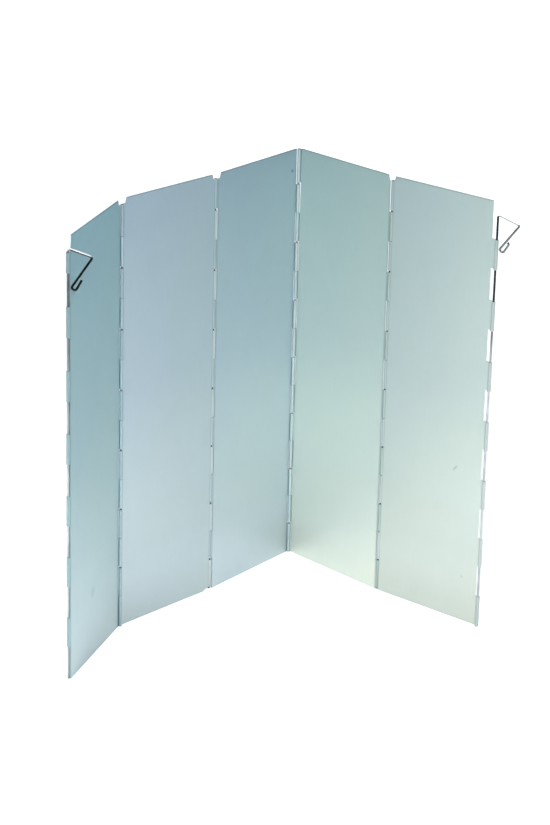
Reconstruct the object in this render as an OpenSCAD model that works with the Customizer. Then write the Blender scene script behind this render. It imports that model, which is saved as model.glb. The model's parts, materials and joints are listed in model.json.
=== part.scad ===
// Folding stove windscreen. Five sheet panels stand on edge and are hinged by knuckles, which are
// rolled from the sheets' own long edges round wire pins. Each outer edge holds a wire ground stake.
// Seen from inside the screen, the panels run from left to right. Front is the inside, towards -Y.

/* [Panels] */
// Height of a panel
panel_h = 400; // [250:5:500]
// Distance along a panel between the pins of its two long edges
panel_w = 118; // [80:1:160]
// Thickness of the sheet
sheet_t = 0.6; // [0.4:0.1:0.9]

/* [Knuckles] */
// Diameter of the wire of the hinge pins and the stakes
wire_d = 2; // [1.6:0.1:3]
// Radial clearance of the wire in a knuckle
wire_clear = 0.1; // [0.05:0.01:0.1]
// Rows of knuckles along an edge, which the two panels of a hinge take in turn
rows = 14; // [8:2:20]
// Extra height of the bottom row
foot_row_extra = 2; // [0:0.5:6]
// Gap along the pin above the knuckles of a hinge's left panel, or below them at the first hinge
wide_gap = 1.8; // [0.8:0.1:2.5]
// Gap on their other side
narrow_gap = 0.4; // [0.3:0.1:0.7]
// Angle that the rolled sheet wraps round the wire
curl_wrap = 300; // [270:5:305]
// Clearance between a knuckle or a bare stretch of the left stake and the cut edge that faces it
slot_clear = 0.3; // [0.3:0.05:1]
// The same clearance in the top row of the right outer edge, whose slots stand open beside the stake
end_slot_clear = 4.6; // [2:0.1:8]
// The same in the bottom row
end_slot_foot_clear = 2.2; // [1:0.1:8]

/* [Corner reliefs] */
// Depth of the notch at the top of the first, second and fourth hinge
notch_h = 5; // [2:0.5:8]
// Distance of the first notch's upright sides from the pin, at its floor
first_notch_w = 5.2; // [2.5:0.1:8]
// The same at the second hinge
second_notch_w = 4.3; // [2.5:0.1:8]
// The same at the fourth hinge
fourth_notch_w = 2.7; // [2.5:0.1:8]
// Lean of those sides between the floor of the notch and the top of the panel
notch_flare = 1.5; // [0:0.1:3]
// Depth of the cut at the top of the third hinge and at every hinge's foot
end_cut_h = 0.5; // [0.3:0.1:2]
// Distance of its upright sides from the pin
end_cut_w = 2.5; // [2.2:0.1:5]
// Depth of the larger cut at the foot of the second hinge, in the left inner panel
foot_notch_h = 2.2; // [1:0.1:5]
// Distance of its side from the pin
foot_notch_w = 5.8; // [3:0.1:8]
// Lean of that side
foot_notch_flare = 4; // [0:0.1:6]
// Lean of the side of the notch where the left handle leaves its panel
seat_flare = 1.3; // [0:0.1:4]

/* [Stakes] */
// Depth of the corner of the top bend below the top of the panels
stake_drop = 11; // [8:0.5:20]
// Height of the stakes' tips and of the feet of the hinge pins above the ground
tip_lift = 0.3; // [0.2:0.1:2]
// Reach of the handle from the stake to its outer corner
handle_reach = 20.4; // [16:0.2:30]
// Fall of the handle's arm from the top corner to the outer corner
handle_fall = 7.2; // [2:0.2:12]
// Depth of the left handle's lower corner below its top corner
left_depth = 34; // [28:0.5:45]
// The same at the right handle
right_depth = 31.5; // [28:0.5:45]
// Clearance between the left handle's arm and the knuckle under it
seat_clear = 1.8; // [0.5:0.1:3]
// Clearance between a handle's rounded lower corner and the knuckles
handle_clear = 0.5; // [0.4:0.1:2]
// Inner radius of the bends in the wire
bend_in = 0.8; // [0.6:0.1:1.5]
// Straight stretch across the end of the hook
hook_flat = 0.8; // [0.6:0.1:3]
// Lean of the hook's free leg towards the handle
hook_lean = 5; // [0:1:6]
// Length of the hook's free leg
hook_leg = 10.5; // [7:0.5:15]
// Straight stretch at the end of the inward tip of the right stake's hook
hook_tip = 0.3; // [0.2:0.1:0.5]
// Turn of the left handle from its panel's line, towards the front
left_turn = 73; // [40:1:90]
// Turn of the right handle from its panel's line, towards the back
right_turn = 17; // [0:1:60]

/* [Stance] */
// Heading of the middle panel, seen from above
heading = 53; // [0:1:90]
// Fold of the first hinge, towards the front
fold_1 = 25; // [0:1:120]
// Fold of the second hinge, towards the back
fold_2 = 5; // [0:1:120]
// Fold of the third hinge, towards the front
fold_3 = 99; // [0:1:150]
// Fold of the fourth hinge, towards the back
fold_4 = 6; // [0:1:120]

/* [Hidden] */

$fn = 48;
past = 1; // how far a cut runs past what it cuts
bend_swell = 0.02; // how much thicker the wire is in its bends
bend_lap = 0.1; // how far its straight stretches run into them
sheet_colour = "#a9bfc4";
wire_colour = "#6e7072";

// Section of a knuckle, with its pin pin_off away from the middle of the sheet
bore_r = wire_d / 2 + wire_clear;
knuckle_r = bore_r + sheet_t;
pin_off = bore_r + sheet_t / 2;
cut_reach = pin_off + knuckle_r + past;

// Rows are counted from the top, and the first starts at the floor of the notches
row_h = (panel_h - notch_h - foot_row_extra) / rows;
function row_floor(row) = panel_h - notch_h - (row + 1) * row_h;

// Hinge lines are counted from the left: 0 and 5 are the outer edges, 1 to 4 the hinges
wire_slot_w = sqrt(pow(wire_d / 2 + slot_clear, 2) - pow(bore_r, 2));
hinge_slot_w = knuckle_r + slot_clear;
slot_narrowing = (end_slot_clear - end_slot_foot_clear) / (rows - 1);
function end_slot_w(row) = knuckle_r + end_slot_clear - slot_narrowing * row;
function gap_over_left(line) = line == 1 ? narrow_gap : wide_gap;
function gap_under_left(line) = line == 1 ? wide_gap : narrow_gap;
function slot_w(line, row) = line == 0 ? wire_slot_w : line == 5 ? end_slot_w(row) : hinge_slot_w;

// Corner cuts of the hinge lines: depth, distance of the side from the pin at that depth, and its lean
arm_slope = handle_fall / handle_reach;
arm_underside = stake_drop + knuckle_r * arm_slope + wire_d / 2 * norm([1, arm_slope]);
seat_h = arm_underside + seat_clear;
seat_w = knuckle_r / tan(left_turn) + (wire_d / 2 + slot_clear) / sin(left_turn);
top_cuts = [
    [seat_h, seat_w, seat_flare],
    [notch_h, first_notch_w, notch_flare],
    [notch_h, second_notch_w, notch_flare],
    [end_cut_h, end_cut_w, 0],
    [notch_h, fourth_notch_w, notch_flare],
];
foot_cut = [end_cut_h, end_cut_w, 0];
foot_notch = [foot_notch_h, foot_notch_w, foot_notch_flare];

// Plan of the panels: their headings, and the hinge lines that follow from them.
// A panel's left pin is behind it (+1) or in front of it (-1), and its right pin on the other side.
headings = [
    heading - fold_2 + fold_1,
    heading - fold_2,
    heading,
    heading - fold_3,
    heading - fold_3 + fold_4,
];
function along(angle) = [cos(angle), sin(angle)];
function behind(angle) = [-sin(angle), cos(angle)];
function left_side(i) = i % 2 == 0 ? 1 : -1;
function span(i) = panel_w * along(headings[i]) - 2 * left_side(i) * pin_off * behind(headings[i]);
function chain(k) = k == 0 ? [0, 0] : chain(k - 1) + span(k - 1);

// Geometry of a bent wire: how far it turns at a corner, where a straight stretch starts, and the
// centre of a bend
bend_r = bend_in + wire_d / 2;
bend_d = wire_d + bend_swell;
function unit(v) = v / norm(v);
function turn_at(p, i) = let (
    a = unit(p[i] - p[i - 1]),
    b = unit(p[i + 1] - p[i])
) atan2(a[0] * b[1] - a[1] * b[0], a * b);
function setback(p, i) = bend_r * tan(abs(turn_at(p, i)) / 2);
function straight_from(p, i) = i == 0 || i == len(p) - 1 ? 0 : setback(p, i) - bend_lap;
function inward(p, i) = let (a = unit(p[i] - p[i - 1])) sign(turn_at(p, i)) * [-a[1], a[0]];
function bend_centre(p, i) = p[i] - setback(p, i) * unit(p[i] - p[i - 1]) + bend_r * inward(p, i);

// Corners of a stake, from its tip up to the handle and round to the end of the hook. The lower corner
// is drawn in by as much as its bend rounds it off.
stake_top = panel_h - stake_drop;
outer_corner = [handle_reach, stake_top - handle_fall];
function rightwards(v) = [v[1], -v[0]];
function lower_corner(depth) = let (
    clear_of_knuckles = [knuckle_r + wire_d / 2 + handle_clear, stake_top - depth],
    slope = unit(outer_corner - clear_of_knuckles)
) clear_of_knuckles - [bend_r * (slope[0] + slope[1] - 1), 0];
function stake_corners(depth) = let (
    lower = lower_corner(depth),
    slope = unit(outer_corner - lower),
    across = rightwards(slope),
    hook = lower + (2 * bend_r + hook_flat) * across,
    leg = cos(hook_lean) * slope - sin(hook_lean) * across
) [[0, tip_lift], [0, stake_top], outer_corner, lower, hook, hook + hook_leg * leg];
function tip_corner(p) = p[5] - (bend_r + hook_tip) * rightwards(unit(p[5] - p[4]));
left_corners = stake_corners(left_depth);
hooked_corners = stake_corners(right_depth);
right_corners = concat(hooked_corners, [tip_corner(hooked_corners)]);
function handle_end(p) = bend_centre(p, 2)[0] + bend_r;

// The origin is on the ground, in the middle of the standing screen's box
left_heading = headings[0] - left_turn;
right_heading = headings[4] + right_turn;
pins = [for (k = [0 : 5]) chain(k)];
tips = [
    pins[0] + handle_end(left_corners) * along(left_heading),
    pins[5] + handle_end(right_corners) * along(right_heading),
];
function least(points, axis) = min([for (p = points) p[axis]]);
function most(points, axis) = max([for (p = points) p[axis]]);
low = [for (axis = [0, 1]) min(least(pins, axis) - knuckle_r, least(tips, axis) - bend_d / 2)];
high = [for (axis = [0, 1]) max(most(pins, axis) + knuckle_r, most(tips, axis) + bend_d / 2)];
middle = (low + high) / 2;
function hinge_line(k) = pins[k] - middle;

// Rolled edge, drawn at a right-hand edge with its pin behind the sheet
module curl_section() {
    open_from = curl_wrap - 90;
    far = 2 * knuckle_r;
    translate([0, pin_off])
    difference() {
        circle(r = knuckle_r);
        circle(r = bore_r);
        polygon([[0, 0], far * along(open_from), far * along((open_from + 270) / 2), [0, -far]]);
    }
}

// Plan section of a whole panel, its left pin's foot at the origin and the right one's at panel_w
module panel_section(side) {
    translate([0, -sheet_t / 2])
    square([panel_w, sheet_t]);
    mirror([1, 0])
    scale([1, side])
    curl_section();
    translate([panel_w, 0])
    scale([1, -side])
    curl_section();
}

// Cut in the top corner of a right-hand edge
module corner_cut(cut) {
    depth = cut[0];
    side = -cut[1];
    lean = cut[2] * (depth + past) / depth;
    outline = [
        [side, -depth],
        [side - lean, past],
        [knuckle_r + past, past],
        [knuckle_r + past, -depth],
    ];
    rotate([90, 0, 0])
    linear_extrude(2 * cut_reach, center = true)
    polygon(outline);
}

// Everything cut out of one long edge, drawn at a right-hand edge. A panel's right edge is cut away in
// the odd rows, counted from one, and its left edge in the even rows.
module edge_cuts(line, odd_rows) {
    gap_below = odd_rows ? gap_over_left(line) : gap_under_left(line);
    gap_above = odd_rows ? gap_under_left(line) : gap_over_left(line);
    for (row = [0 : rows - 1]) {
        if ((row % 2 == 0) == odd_rows) {
            inner = slot_w(line, row);
            floor_z = row == rows - 1 ? -past : row_floor(row) - gap_below / 2;
            top_z = row == 0 ? panel_h + past : row_floor(row) + row_h + gap_above / 2;
            translate([-inner, -cut_reach, floor_z])
            cube([inner + knuckle_r + past, 2 * cut_reach, top_z - floor_z]);
        }
    }
    if (line < 5) {
        translate([0, 0, panel_h])
        corner_cut(top_cuts[line]);
    }
    if (line > 0 && line < 5) {
        mirror([0, 0, 1])
        corner_cut(line == 2 && odd_rows ? foot_notch : foot_cut);
    }
}

// One panel: the rolled section at full height, less the slots that leave its knuckles standing
module panel(i) {
    foot = hinge_line(i) - left_side(i) * pin_off * behind(headings[i]);
    translate(foot)
    rotate([0, 0, headings[i]])
    difference() {
        linear_extrude(panel_h)
        panel_section(left_side(i));
        mirror([1, 0, 0])
        edge_cuts(i, false);
        translate([panel_w, 0, 0])
        edge_cuts(i + 1, true);
    }
}

// Straight wire through the knuckles of one hinge, up to the floor of its notch
module hinge_pin(line) {
    translate(hinge_line(line))
    translate([0, 0, tip_lift])
    cylinder(d = wire_d, h = panel_h - top_cuts[line][0] - tip_lift);
}

// Bent wire, drawn flat through a list of corners
module bent_wire(p) {
    for (i = [0 : len(p) - 2]) {
        way = unit(p[i + 1] - p[i]);
        from = straight_from(p, i);
        to = straight_from(p, i + 1);
        translate(p[i] + from * way)
        rotate([0, 90, atan2(way[1], way[0])])
        cylinder(d = wire_d, h = norm(p[i + 1] - p[i]) - from - to);
    }
    for (i = [1 : len(p) - 2]) {
        turn = turn_at(p, i);
        first = atan2(-inward(p, i)[1], -inward(p, i)[0]);
        translate(bend_centre(p, i))
        rotate([0, 0, min(first, first + turn)])
        rotate_extrude(angle = abs(turn))
        translate([bend_r, 0])
        circle(d = bend_d);
    }
}

// Wire stake standing in an outer edge, its handle turned to a heading
module stake(line, turned, corners) {
    translate(hinge_line(line))
    rotate([90, 0, turned])
    bent_wire(corners);
}

module left_outer_panel() {
    color(sheet_colour) panel(0);
}

module left_inner_panel() {
    color(sheet_colour) panel(1);
}

module middle_panel() {
    color(sheet_colour) panel(2);
}

module right_inner_panel() {
    color(sheet_colour) panel(3);
}

module right_outer_panel() {
    color(sheet_colour) panel(4);
}

module hinge_pin_1() {
    color(wire_colour) hinge_pin(1);
}

module hinge_pin_2() {
    color(wire_colour) hinge_pin(2);
}

module hinge_pin_3() {
    color(wire_colour) hinge_pin(3);
}

module hinge_pin_4() {
    color(wire_colour) hinge_pin(4);
}

module left_stake() {
    color(wire_colour) stake(0, left_heading, left_corners);
}

module right_stake() {
    color(wire_colour) stake(5, right_heading, right_corners);
}

left_outer_panel();
left_inner_panel();
middle_panel();
right_inner_panel();
right_outer_panel();
hinge_pin_1();
hinge_pin_2();
hinge_pin_3();
hinge_pin_4();
left_stake();
right_stake();
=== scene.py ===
"""Looks of a folding stove windscreen: its finishes, a pale floor, soft studio light and the camera."""
import json
import math

import bpy
from mathutils import Matrix, Vector


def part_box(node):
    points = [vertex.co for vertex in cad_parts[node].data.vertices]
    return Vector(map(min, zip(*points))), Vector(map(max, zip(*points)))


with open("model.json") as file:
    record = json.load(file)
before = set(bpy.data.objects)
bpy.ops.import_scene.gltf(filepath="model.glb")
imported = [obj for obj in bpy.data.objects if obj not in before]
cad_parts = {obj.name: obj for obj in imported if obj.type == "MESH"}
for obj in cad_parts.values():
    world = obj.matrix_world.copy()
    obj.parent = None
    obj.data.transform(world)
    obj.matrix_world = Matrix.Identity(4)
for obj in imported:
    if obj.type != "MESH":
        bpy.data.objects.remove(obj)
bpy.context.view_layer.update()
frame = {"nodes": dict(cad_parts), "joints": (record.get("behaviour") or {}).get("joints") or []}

MM = 0.001

# Camera at the photograph's viewing angle, for an image of 550 x 825, with its turns in degrees
CAMERA_PLACE = Vector((-5.4, -2361.7, 1070.5)) * MM
CAMERA_PITCH = 20.31
CAMERA_ROLL = 1.47
CAMERA_YAW = 0.27
LENS_MM = 123.5
FILM_MM = 36.0
CLIP_END = 100

# Panels from left to right: the node, its sheet's tint with painted light, and the share of the tint added
# from foot to top as painted light and shade
PANELS = [
    ("left_outer_panel", (0.379, 0.491, 0.534), (-0.348, -0.119, -0.006)),
    ("left_inner_panel", (0.419, 0.497, 0.543), (-0.182, -0.094, 0.029)),
    ("middle_panel", (0.433, 0.518, 0.569), (-0.352, -0.230, -0.134)),
    ("right_inner_panel", (0.599, 0.678, 0.628), (-0.307, -0.141, -0.089)),
    ("right_outer_panel", (0.528, 0.589, 0.556), (-0.121, -0.028, 0.037)),
]
# Tints of a sheet's left and right knuckles, painted lighter or darker for the highlights and shade on each
# curl
KNUCKLE_PAINTED_TINTS = {
    "left_outer_panel": ((0.27, 0.385, 0.41), (0.33, 0.435, 0.47)),
    "left_inner_panel": ((0.29, 0.38, 0.415), (0.52, 0.61, 0.63)),
    "middle_panel": ((0.36, 0.45, 0.48), (0.41, 0.51, 0.515)),
    "right_inner_panel": ((0.40, 0.50, 0.51), (0.375, 0.46, 0.425)),
    "right_outer_panel": ((0.50, 0.58, 0.56), (0.41, 0.46, 0.44)),
}
# Lines of painted shade up a sheet's edge beside its knuckles: distance from the pin's foot and half width
# in mm, and shade
ROLL_SHADE_LINES = [(2.4, 0.7, 0.82), (0.2, 0.6, 0.80)]
# Painted shade on the outer side of the left edge's roll
ROLL_SIDE_SHADE = [(-1.7, 0.7, 0.70)]
# The lines of painted shade beside each pin, with the pins counted from the left edge
EDGE_SHADE_LINES = {0: ROLL_SIDE_SHADE, 2: ROLL_SHADE_LINES, 4: ROLL_SHADE_LINES}
# Marks on a sheet: place along it and up it, half length and half width in mm, turn in degrees, and shade
MARKS = {
    "left_outer_panel": [(52.8, 60.3, 7.0, 7.0, 0, 0.88)],
    "middle_panel": [(109.9, 380.0, 3.0, 2.4, 0, 0.60)],
    "right_outer_panel": [(84.6, 145.0, 5.2, 1.7, 51, 0.76), (97.6, 42.6, 1.8, 1.2, 0, 0.78)],
}
# Share of a line's or mark's half width that has its full shade
LINE_CORE = 0.3
MARK_CORE = 0.2

# Half of the sheets' thickness
HALF_SHEET = 0.3 * MM
# Distance of a pin from the middle of the sheets that it joins
PIN_OFF = 1.4 * MM
# Half width of the strip that the knuckles take, round their pin's foot
KNUCKLE_HALF = 1.8 * MM

# Clouding of the sheets between a cooler and a warmer cast, over a range of its noise
CLOUD_SCALE = 7.0
CLOUD_RANGE = (0.35, 0.65)
CLOUD_COOL = (0.98, 0.99, 1.01, 1)
CLOUD_WARM = (1.01, 1.01, 0.98, 1)
# Dark rim at a sheet's top: how far below the top it starts and is full
RIM_START = 1.4 * MM
RIM_FULL = 0.6 * MM
RIM_SHADE = 0.72
# Painted shade in crevices, darker over a range of how open they are
CREVICE_REACH = 3.0 * MM
CREVICE_SAMPLES = 12
CREVICE_RANGE = (0.2, 0.8)
CREVICE_SHADE = 0.85
# Painted shade at the foot of the sheets
FOOT_HEIGHT = 50 * MM
FOOT_SHADE = 0.90
# Painted light: a paler band across the sheets
BAND_MIDDLE = 140 * MM
BAND_HALF = 110 * MM
BAND_SHADE = 1.06
# Fine grain that runs up the sheets, smudges that make them rougher, and slight waves
GRAIN_STRETCH = (1.0, 1.0, 0.02)
GRAIN_SCALE = 2600.0
GRAIN_RANGE = (0.3, 0.7)
GRAIN_DEPTH = 0.004 * MM
SMUDGE_SCALE = 38.0
SMUDGE_RANGE = (0.4, 0.75)
SMUDGE_ROUGH = 0.05
WAVE_SCALE = 16.0
WAVE_DEPTH = 0.4 * MM
SHEET_BUMP = 0.5
SHEET_ROUGH = (0.50, 0.56)
SHEET_METAL = 0.9

# Cast of the wires' steel
STEEL = (0.92, 1.0, 1.03)
# Hinge pins, each with the grey of its wire, which holds painted shade or light for its hinge
PIN_PAINTED_GREYS = [("hinge_pin_1", 0.13), ("hinge_pin_2", 0.07), ("hinge_pin_3", 0.30), ("hinge_pin_4", 0.07)]
# Stakes, each with the greys of its wire as painted reflection: foot, upper slots, handle, and the painted
# highlight on top of the handle's arm
STAKES = [("left_stake", 0.24, 0.18, 0.015, 0.50), ("right_stake", 0.42, 0.03, 0.16, 0.85)]
# Heights on a stake: where its foot's tone ends, where its slots' tone starts, and the handle's arm
FOOT_TONE_TOP = 220 * MM
SLOT_TONE_LOW = 310 * MM
ARM_LOW = 381 * MM
# Distances from a stake's axis between which its straight length's tone gives way to the handle's
HANDLE_START = 1.2 * MM
HANDLE_FULL = 1.8 * MM
# Painted highlight on the top of the arm: the rise and slope at which it is full, the roughness added and
# the metal share
HIGHLIGHT_RISE = 3.0 * MM
HIGHLIGHT_SLOPE = 0.35
HIGHLIGHT_ROUGH = 0.4
HIGHLIGHT_METAL = 0.1
# Drawn streaks along the wires, and patches that change their grey
STREAK_STRETCH = (1.0, 1.0, 0.03)
STREAK_SCALE = 1800.0
STREAK_RANGE = (0.3, 0.7)
STREAK_BUMP = 0.1
STREAK_DEPTH = 0.1 * MM
PATCH_SCALE = 60.0
PATCH_RANGE = (0.4, 0.65)
PATCH_SHADES = (0.8, 1.2)
WIRE_ROUGH = (0.12, 0.22)

# Floor
FLOOR_HALF = 12.0
FLOOR_GREY = 0.92
FLOOR_ROUGH = 0.9
FLOOR_SPECULAR = 0.1

# Light of the room
ROOM_CAST = (0.85, 0.92, 1.0, 1)
ROOM_STRENGTH = 0.48
# Softboxes: name, place, target, width and depth, watts, and spread in degrees
SOFTBOXES = [
    ("front", (0, -1.7, 1.6), (0, -0.1, 0.1), (0.8, 0.5), 12.0, 90),
    ("left_front", (-0.7, -0.8, 1.2), (-0.5, -0.5, 0), (0.6, 0.6), 6.1, 60),
    ("left_floor", (-0.62, 0.45, 0.9), (-0.62, 0.45, 0), (0.5, 1.7), 4.0, 60),
    ("right_floor", (0.6, 0.5, 0.9), (0.6, 0.5, 0), (0.5, 1.8), 6.0, 60),
    ("far_floor", (0, 2.3, 1.0), (0, 2.3, 0), (2.0, 1.6), 15.4, 70),
]


def put(tree, socket, value):
    """Set a socket to a value, or link another node's output to it."""
    if isinstance(value, bpy.types.NodeSocket):
        tree.links.new(value, socket)
    else:
        socket.default_value = value


def add(tree, kind, inputs=None, **settings):
    """Add a node, with its properties set and its inputs set or linked by name or number."""
    made = tree.nodes.new(kind)
    for name, value in settings.items():
        setattr(made, name, value)
    for name, value in (inputs or {}).items():
        put(tree, made.inputs[name], value)
    return made


def math_node(tree, operation, a, b=0.0):
    """Sum, product or other plain result of two values."""
    return add(tree, "ShaderNodeMath", {0: a, 1: b}, operation=operation).outputs[0]


def map_range(tree, value, low, high, out_low, out_high, smooth=False):
    """Value between two others, as the input goes from low to high."""
    inputs = {"Value": value, "From Min": low, "From Max": high, "To Min": out_low, "To Max": out_high}
    kind = "SMOOTHSTEP" if smooth else "LINEAR"
    return add(tree, "ShaderNodeMapRange", inputs, interpolation_type=kind).outputs["Result"]


def mix_colour(tree, share, a, b, blend="MIX"):
    """Mix of two colours."""
    made = add(tree, "ShaderNodeMix", data_type="RGBA", blend_type=blend)
    for name, value in (("Factor_Float", share), ("A_Color", a), ("B_Color", b)):
        put(tree, next(s for s in made.inputs if s.identifier == name), value)
    return next(s for s in made.outputs if s.identifier == "Result_Color")


def noise(tree, place, scale, detail=2.0, roughness=0.5):
    """Noise at a place, about 0.5 on average."""
    inputs = {"Vector": place, "Scale": scale, "Detail": detail, "Roughness": roughness}
    return add(tree, "ShaderNodeTexNoise", inputs).outputs["Fac"]


def stretched(tree, place, scale):
    """Place scaled on each axis, so that noise on it runs along one."""
    return add(tree, "ShaderNodeMapping", {"Vector": place, "Scale": scale}).outputs["Vector"]


def plain_grey(value):
    """Grey as a colour with full alpha."""
    return (value, value, value, 1)


def new_material(name):
    """New material, with its node tree and its shader."""
    made = bpy.data.materials.new(name)
    made.use_nodes = True
    return made, made.node_tree, made.node_tree.nodes["Principled BSDF"]


def pin_lines():
    """Plan places of the six pin lines from left to right, from the joints and the stakes' boxes."""
    joints = {j["name"]: Vector(j["pos_m"]).to_2d() for j in frame["joints"] if j["type"] == "hinge"}
    pin_low, pin_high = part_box("hinge_pin_1")
    wire_r = (pin_high.x - pin_low.x) / 2
    left_low, left_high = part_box("left_stake")
    right_low, right_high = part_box("right_stake")
    left = Vector((left_low.x + wire_r, (left_low.y + left_high.y) / 2))
    right = Vector((right_low.x + wire_r, right_high.y - wire_r))
    return [left] + [joints["fold_%d" % k] for k in (1, 2, 3, 4)] + [right]


def shade_stripe(tree, along, middle, half_width, shade):
    """Factor for a soft-edged line of painted shade up a sheet: its shade in the middle, and 1 outside it.
    """
    away = math_node(tree, "ABSOLUTE", math_node(tree, "SUBTRACT", along, middle * MM))
    return map_range(tree, away, LINE_CORE * half_width * MM, half_width * MM, shade, 1.0, True)


def mark(tree, place, along, up, half_length, half_width, turn, shade):
    """Factor for a soft-edged mark on a sheet's front: its shade in the middle, and 1 outside it."""
    inputs = {
        "Vector": place,
        "Location": (along * MM, -HALF_SHEET, up * MM),
        "Rotation": (0, -math.radians(turn), 0),
        "Scale": (half_length * MM, HALF_SHEET, half_width * MM),
    }
    local = add(tree, "ShaderNodeMapping", inputs, vector_type="TEXTURE").outputs["Vector"]
    away = add(tree, "ShaderNodeVectorMath", {0: local}, operation="LENGTH").outputs["Value"]
    return map_range(tree, away, MARK_CORE, 1.0, shade, 1.0, True)


def sheet_place(tree, start, end, side):
    """Place measured along a sheet from its left pin's foot, and the sheet's width between pins.

    side is 1 where the left pin is behind the sheet and the right one in front, and -1 the other way.
    """
    width = math.sqrt((end - start).length_squared - 4 * PIN_OFF ** 2)
    heading = math.atan2(end.y - start.y, end.x - start.x) + side * math.atan2(2 * PIN_OFF, width)
    behind = Vector((-math.sin(heading), math.cos(heading)))
    foot = start - side * PIN_OFF * behind
    shift = -(Matrix.Rotation(-heading, 3, "Z") @ foot.to_3d())
    rest = add(tree, "ShaderNodeTexCoord").outputs["Object"]
    inputs = {"Vector": rest, "Location": shift, "Rotation": (0, 0, -heading)}
    return add(tree, "ShaderNodeMapping", inputs).outputs["Vector"], width


def sheet_material(name, tint, rise, start, end, side, height, knuckles, edge_shade_lines):
    """Satin aluminium sheet, with painted light and shade in its tints, knuckles, edge lines, crevices, foot
    and band.

    knuckles and edge_shade_lines each have a value for the left edge and one for the right edge.
    """
    made, tree, shader = new_material(name + "_sheet")
    place, width = sheet_place(tree, start, end, side)
    split = add(tree, "ShaderNodeSeparateXYZ", {"Vector": place})
    across, up = split.outputs["X"], split.outputs["Z"]
    from_right = math_node(tree, "SUBTRACT", width, across)

    # Painted light and shade: the tint changes from foot to top
    foot_tint = [c * (1 - r / 2) for c, r in zip(tint, rise)] + [1]
    top_tint = [c * (1 + r / 2) for c, r in zip(tint, rise)] + [1]
    base = mix_colour(tree, map_range(tree, up, 0.0, height, 0.0, 1.0), foot_tint, top_tint)
    cloud = map_range(tree, noise(tree, place, CLOUD_SCALE), *CLOUD_RANGE, 0.0, 1.0)
    base = mix_colour(tree, 1.0, base, mix_colour(tree, cloud, CLOUD_COOL, CLOUD_WARM), "MULTIPLY")
    shades = []
    # Knuckle tints and the lines beside them are painted light and shade on the rolled edges
    for along, knuckle, shown in zip((across, from_right), knuckles, edge_shade_lines):
        on_knuckle = math_node(tree, "LESS_THAN", along, KNUCKLE_HALF)
        base = mix_colour(tree, on_knuckle, base, knuckle + (1,))
        shades += [shade_stripe(tree, along, *values) for values in shown]
    shades.append(map_range(tree, up, height - RIM_START, height - RIM_FULL, 1.0, RIM_SHADE, True))
    # Painted shade in crevices, from ambient occlusion
    corner = add(tree, "ShaderNodeAmbientOcclusion", {"Distance": CREVICE_REACH}, samples=CREVICE_SAMPLES)
    shades.append(map_range(tree, corner.outputs["AO"], *CREVICE_RANGE, CREVICE_SHADE, 1.0))
    # Painted shade at the foot
    shades.append(map_range(tree, up, 0.0, FOOT_HEIGHT, FOOT_SHADE, 1.0, True))
    # Painted light: a paler band across the sheets
    from_band = math_node(tree, "ABSOLUTE", math_node(tree, "SUBTRACT", up, BAND_MIDDLE))
    shades.append(map_range(tree, from_band, 0.0, BAND_HALF, BAND_SHADE, 1.0, True))
    shades += [mark(tree, place, *values) for values in MARKS.get(name, [])]
    for factor in shades:
        base = mix_colour(tree, 1.0, base, factor, "MULTIPLY")

    grain = noise(tree, stretched(tree, place, GRAIN_STRETCH), GRAIN_SCALE, detail=3.0)
    smudge = noise(tree, place, SMUDGE_SCALE, detail=4.0, roughness=0.6)
    wave = noise(tree, place, WAVE_SCALE, detail=1.0)
    rough = math_node(tree, "ADD", map_range(tree, grain, *GRAIN_RANGE, *SHEET_ROUGH),
                      map_range(tree, smudge, *SMUDGE_RANGE, 0.0, SMUDGE_ROUGH))
    relief = math_node(tree, "ADD", math_node(tree, "MULTIPLY", grain, GRAIN_DEPTH),
                       math_node(tree, "MULTIPLY", wave, WAVE_DEPTH))
    bump = add(tree, "ShaderNodeBump", {"Height": relief, "Strength": SHEET_BUMP, "Distance": 1.0})
    tree.links.new(base, shader.inputs["Base Color"])
    tree.links.new(rough, shader.inputs["Roughness"])
    tree.links.new(bump.outputs["Normal"], shader.inputs["Normal"])
    shader.inputs["Metallic"].default_value = SHEET_METAL
    return made


def wire_finish(name):
    """Start a steel wire's material, and give it with its tree, shader, patches and roughness."""
    made, tree, shader = new_material(name)
    rest = add(tree, "ShaderNodeTexCoord").outputs["Object"]
    streak = noise(tree, stretched(tree, rest, STREAK_STRETCH), STREAK_SCALE, detail=3.0)
    patch = map_range(tree, noise(tree, rest, PATCH_SCALE, detail=3.0), *PATCH_RANGE, *PATCH_SHADES)
    rough = map_range(tree, streak, *STREAK_RANGE, *WIRE_ROUGH)
    bump = add(tree, "ShaderNodeBump", {"Height": streak, "Strength": STREAK_BUMP, "Distance": STREAK_DEPTH})
    tree.links.new(bump.outputs["Normal"], shader.inputs["Normal"])
    return made, tree, shader, patch, rough


def pin_material(name, grey):
    """Steel wire of a hinge pin, its grey holding painted shade or light."""
    made, tree, shader, patch, rough = wire_finish(name)
    base = mix_colour(tree, 1.0, patch, [grey * c for c in STEEL] + [1], "MULTIPLY")
    tree.links.new(base, shader.inputs["Base Color"])
    tree.links.new(rough, shader.inputs["Roughness"])
    shader.inputs["Metallic"].default_value = 1.0
    return made


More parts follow.
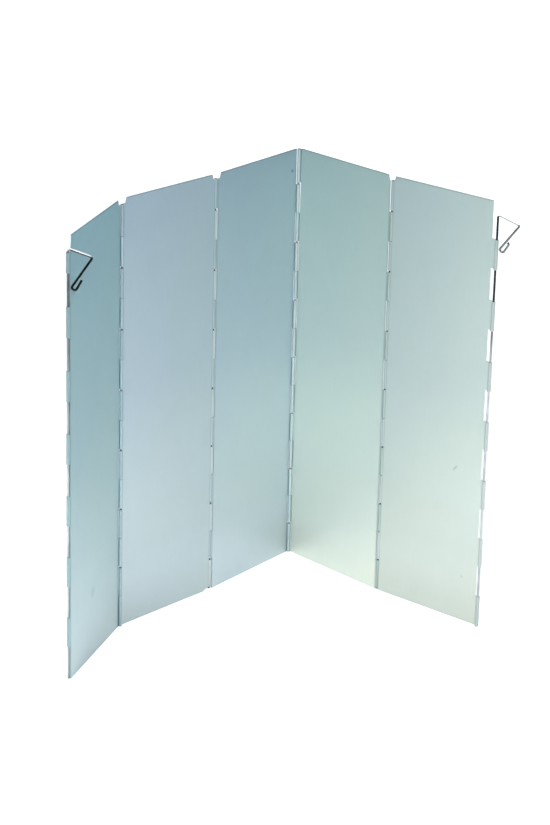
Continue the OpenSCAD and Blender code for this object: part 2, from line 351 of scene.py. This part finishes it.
def stake_material(name, axis, foot_grey, slot_grey, handle_grey, highlight_grey):
    """Plated steel wire, with painted reflection that makes it brighter at its foot and a painted highlight
    on the top of the handle's arm.
    """
    made, tree, shader, patch, rough = wire_finish(name)
    coords = add(tree, "ShaderNodeTexCoord")
    rest = coords.outputs["Object"]
    up = add(tree, "ShaderNodeSeparateXYZ", {"Vector": rest}).outputs["Z"]
    facing_up = add(tree, "ShaderNodeSeparateXYZ", {"Vector": coords.outputs["Normal"]}).outputs["Z"]
    flat = add(tree, "ShaderNodeVectorMath", {0: rest, 1: (1, 1, 0)}, operation="MULTIPLY")
    inputs = {0: flat.outputs["Vector"], 1: axis.to_3d()}
    from_axis = add(tree, "ShaderNodeVectorMath", inputs, operation="DISTANCE").outputs["Value"]

    # Painted reflection: the grey changes from foot to slots and from the straight length to the handle
    grey = map_range(tree, up, FOOT_TONE_TOP, SLOT_TONE_LOW, foot_grey, slot_grey)
    in_handle = map_range(tree, from_axis, HANDLE_START, HANDLE_FULL, 0.0, 1.0)
    grey = mix_colour(tree, in_handle, grey, plain_grey(handle_grey))
    grey = mix_colour(tree, 1.0, grey, STEEL + (1,), "MULTIPLY")
    grey = mix_colour(tree, 1.0, grey, patch, "MULTIPLY")
    # Painted highlight on the upward-facing top of the handle's arm
    painted_highlight = math_node(tree, "MULTIPLY", map_range(tree, up, ARM_LOW, ARM_LOW + HIGHLIGHT_RISE, 0.0, 1.0, True),
                       map_range(tree, facing_up, 0.0, HIGHLIGHT_SLOPE, 0.0, 1.0, True))
    base = mix_colour(tree, painted_highlight, grey, plain_grey(highlight_grey))
    rough = math_node(tree, "ADD", rough, math_node(tree, "MULTIPLY", painted_highlight, HIGHLIGHT_ROUGH))
    tree.links.new(base, shader.inputs["Base Color"])
    tree.links.new(rough, shader.inputs["Roughness"])
    tree.links.new(map_range(tree, painted_highlight, 0.0, 1.0, 1.0, HIGHLIGHT_METAL), shader.inputs["Metallic"])
    return made


def dress(node, material):
    """Give a node of the frame its finish."""
    shown = frame["nodes"][node]
    if not shown.material_slots:
        shown.data.materials.append(material)
    for slot in shown.material_slots:
        slot.material = material


def dress_all():
    """Give every node of the frame its finish."""
    lines = pin_lines()
    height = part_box("middle_panel")[1].z
    for i, (panel, tint, rise) in enumerate(PANELS):
        side = 1 if i % 2 == 0 else -1
        ends = (lines[i], lines[i + 1])
        edge_shade_lines = (EDGE_SHADE_LINES.get(i, []), EDGE_SHADE_LINES.get(i + 1, []))
        knuckles = KNUCKLE_PAINTED_TINTS[panel]
        dress(panel, sheet_material(panel, tint, rise, *ends, side, height, knuckles, edge_shade_lines))
    for pin, grey in PIN_PAINTED_GREYS:
        dress(pin, pin_material(pin + "_wire", grey))
    for (stake, *greys), axis in zip(STAKES, (lines[0], lines[-1])):
        dress(stake, stake_material(stake + "_wire", axis, *greys))


def make_floor():
    """Plain pale floor that reaches past the picture on every side."""
    half = FLOOR_HALF
    mesh = bpy.data.meshes.new("floor")
    corners = [(-half, -half, 0), (half, -half, 0), (half, half, 0), (-half, half, 0)]
    mesh.from_pydata(corners, [], [(0, 1, 2, 3)])
    floor = bpy.data.objects.new("floor", mesh)
    bpy.context.scene.collection.objects.link(floor)
    made, _, shader = new_material("pale_floor")
    shader.inputs["Base Color"].default_value = plain_grey(FLOOR_GREY)
    shader.inputs["Roughness"].default_value = FLOOR_ROUGH
    shader.inputs["Specular IOR Level"].default_value = FLOOR_SPECULAR
    mesh.materials.append(made)


def softbox(name, place, target, size, watts, spread):
    """Rectangular area light that faces its target."""
    data = bpy.data.lights.new(name, "AREA")
    data.shape = "RECTANGLE"
    data.size, data.size_y = size
    data.energy = watts
    data.spread = math.radians(spread)
    lamp = bpy.data.objects.new(name, data)
    lamp.location = place
    lamp.rotation_euler = (Vector(target) - Vector(place)).to_track_quat("-Z", "Y").to_euler()
    bpy.context.scene.collection.objects.link(lamp)


def make_light():
    """Pale room, softboxes in front and at the left front, and three over the floor round the screen."""
    world = bpy.data.worlds.new("room")
    bpy.context.scene.world = world
    world.use_nodes = True
    back = world.node_tree.nodes["Background"]
    back.inputs["Color"].default_value = ROOM_CAST
    back.inputs["Strength"].default_value = ROOM_STRENGTH
    for values in SOFTBOXES:
        softbox(*values)


def make_camera():
    """Camera with its yaw, pitch and roll."""
    data = bpy.data.cameras.new("camera")
    data.sensor_fit = "VERTICAL"
    data.sensor_width = FILM_MM
    data.sensor_height = FILM_MM
    data.lens = LENS_MM
    data.clip_end = CLIP_END
    camera = bpy.data.objects.new("camera", data)
    turned = Matrix.Rotation(math.radians(CAMERA_YAW), 4, "Z")
    turned = turned @ Matrix.Rotation(math.radians(90 - CAMERA_PITCH), 4, "X")
    turned = turned @ Matrix.Rotation(math.radians(CAMERA_ROLL), 4, "Z")
    camera.matrix_world = Matrix.Translation(CAMERA_PLACE) @ turned
    bpy.context.scene.collection.objects.link(camera)
    bpy.context.scene.camera = camera


dress_all()
make_floor()
make_light()
make_camera()
bpy.context.scene.view_settings.view_transform = "Standard"
